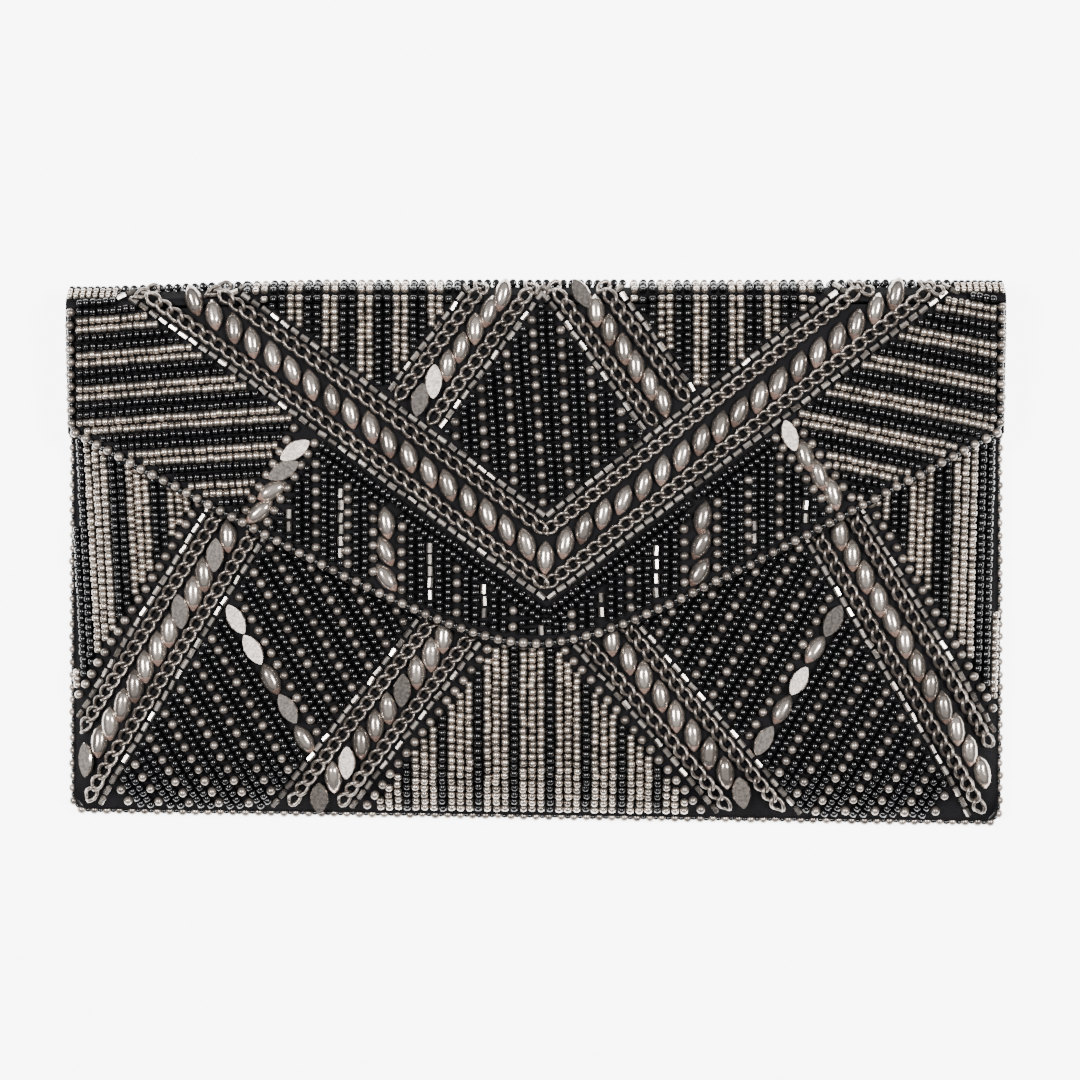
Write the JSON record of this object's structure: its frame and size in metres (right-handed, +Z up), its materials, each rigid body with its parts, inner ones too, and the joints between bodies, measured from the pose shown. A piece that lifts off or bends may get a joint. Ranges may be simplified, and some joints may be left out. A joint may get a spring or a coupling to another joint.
{
  "type": "clutch purse",
  "caption": "Flat envelope clutch covered in beadwork, with a V-shaped fold-over flap, a lined pocket and a magnetic snap.",
  "frame": {"origin": "under the middle of the purse, on the surface that it lies on", "axes": "+X along the fold towards the right side seen from the front, +Y from the bottom edge to the fold, +Z up, out of the front"},
  "size_m": [0.257, 0.1498, 0.0187],
  "materials": {
    "seed_beads": "black and silver glass seed beads with round pewter beads",
    "edge_beads": "round pewter-coloured glass beads",
    "bugle_beads": "silver-coloured cut tube beads",
    "marquise_stones": "metallised domed stones",
    "curb_chain": "gunmetal plated curb chain",
    "satin": "black satin",
    "lining": "black lining satin",
    "stiffening": "pressed felt interlining",
    "snap_plating": "gunmetal plated steel",
    "magnet": "pressed ferrite ring"
  },
  "bodies": {
    "case": {"back_beadwork": "seed_beads", "back_satin": "satin", "back_stiffener": "stiffening", "back_lining": "lining", "slip_pocket": "lining", "front_satin": "satin", "front_stiffener": "stiffening", "front_lining": "lining", "front_beads_far_left": "seed_beads", "front_beads_left": "seed_beads", "front_beads_centre": "seed_beads", "front_beads_right": "seed_beads", "front_beads_far_right": "seed_beads", "front_stones_far_left": "marquise_stones", "front_stones_left": "marquise_stones", "front_stones_right": "marquise_stones", "front_stones_far_right": "marquise_stones", "front_stone_line_left": "marquise_stones", "front_stone_line_right": "marquise_stones", "front_chains_left": "curb_chain", "front_chains_right": "curb_chain", "front_bugles": "bugle_beads", "seam_binding": "satin", "seam_beads": "edge_beads", "snap_socket": "snap_plating", "snap_magnet": "magnet", "snap_socket_plate": "snap_plating"},
    "fold_lower": {"fold_lower_satin": "satin", "fold_lower_lining": "lining", "fold_lower_beads": "seed_beads"},
    "fold_middle": {"fold_middle_satin": "satin", "fold_middle_lining": "lining", "fold_middle_beads": "seed_beads"},
    "fold_upper": {"fold_upper_satin": "satin", "fold_upper_lining": "lining", "fold_upper_beads": "seed_beads"},
    "flap": {"flap_satin": "satin", "flap_stiffener": "stiffening", "flap_lining": "lining", "flap_beads_left": "seed_beads", "flap_beads_right": "seed_beads", "flap_beads_low": "seed_beads", "flap_beads_upper_left": "seed_beads", "flap_beads_upper_right": "seed_beads", "flap_beads_diamond": "seed_beads", "flap_edge_beads": "edge_beads", "flap_chain_v_upper": "curb_chain", "flap_chain_v_lower": "curb_chain", "flap_chains_bar_left": "curb_chain", "flap_chains_bar_right": "curb_chain", "flap_bugles": "bugle_beads", "flap_stones_v": "marquise_stones", "flap_stones_bar_left": "marquise_stones", "flap_stones_bar_right": "marquise_stones", "flap_stones_small": "marquise_stones", "snap_stud": "snap_plating", "snap_stud_plate": "snap_plating"}
  },
  "joints": [
    {"name": "fold_lower_crease", "type": "hinge", "parent": "case", "child": "fold_lower", "pos_m": [0, 0.07019, 0.0022], "axis": [-1, 0, 0], "range_deg": [0, 45]},
    {"name": "fold_middle_crease", "type": "hinge", "parent": "fold_lower", "child": "fold_middle", "pos_m": [0, 0.0727, 0.00471], "axis": [-1, 0, 0], "range_deg": [0, 45]},
    {"name": "fold_upper_crease", "type": "hinge", "parent": "fold_middle", "child": "fold_upper", "pos_m": [0, 0.0727, 0.01359], "axis": [-1, 0, 0], "range_deg": [0, 45]},
    {"name": "flap_crease", "type": "hinge", "parent": "fold_upper", "child": "flap", "pos_m": [0, 0.07019, 0.0161], "axis": [-1, 0, 0], "range_deg": [0, 45]}
  ],
  "couplings": [
    {"joint": "fold_lower_crease", "follows": "flap_crease", "ratio": 1},
    {"joint": "fold_middle_crease", "follows": "flap_crease", "ratio": 1},
    {"joint": "fold_upper_crease", "follows": "flap_crease", "ratio": 1}
  ]
}
